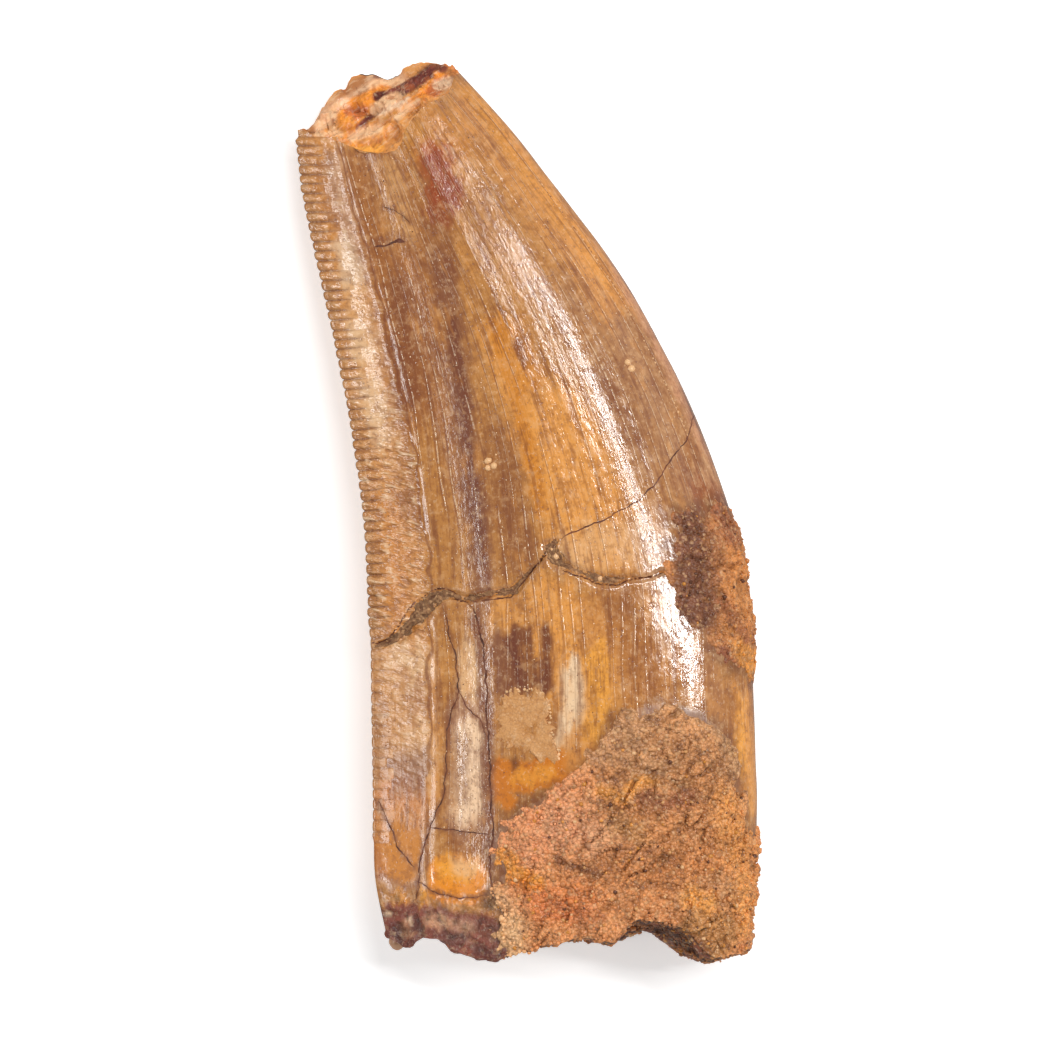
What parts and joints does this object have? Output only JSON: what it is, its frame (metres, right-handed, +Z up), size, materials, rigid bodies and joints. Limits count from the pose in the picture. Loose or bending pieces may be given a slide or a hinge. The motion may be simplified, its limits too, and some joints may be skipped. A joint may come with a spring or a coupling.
{
  "type": "fossil dinosaur tooth",
  "caption": "Large flattened theropod tooth crown, serrated along one edge, broken at the tip and base, with sand crusts; lies on its far side.",
  "frame": {"origin": "under the middle of the tooth's box, on the surface that it lies on", "axes": "+Y along the crown from the base to the broken tip, +X from the serrated edge to the round edge, +Z up from the far face to the near face"},
  "size_m": [0.0298, 0.058, 0.0119],
  "materials": {
    "fossil_enamel": "satin",
    "sandstone_matrix": "matte",
    "iron_stained_matrix": "matte"
  },
  "bodies": {
    "root": {"tooth_crown": "fossil_enamel", "base_matrix": "sandstone_matrix", "mesial_matrix": "iron_stained_matrix"}
  },
  "joints": []
}
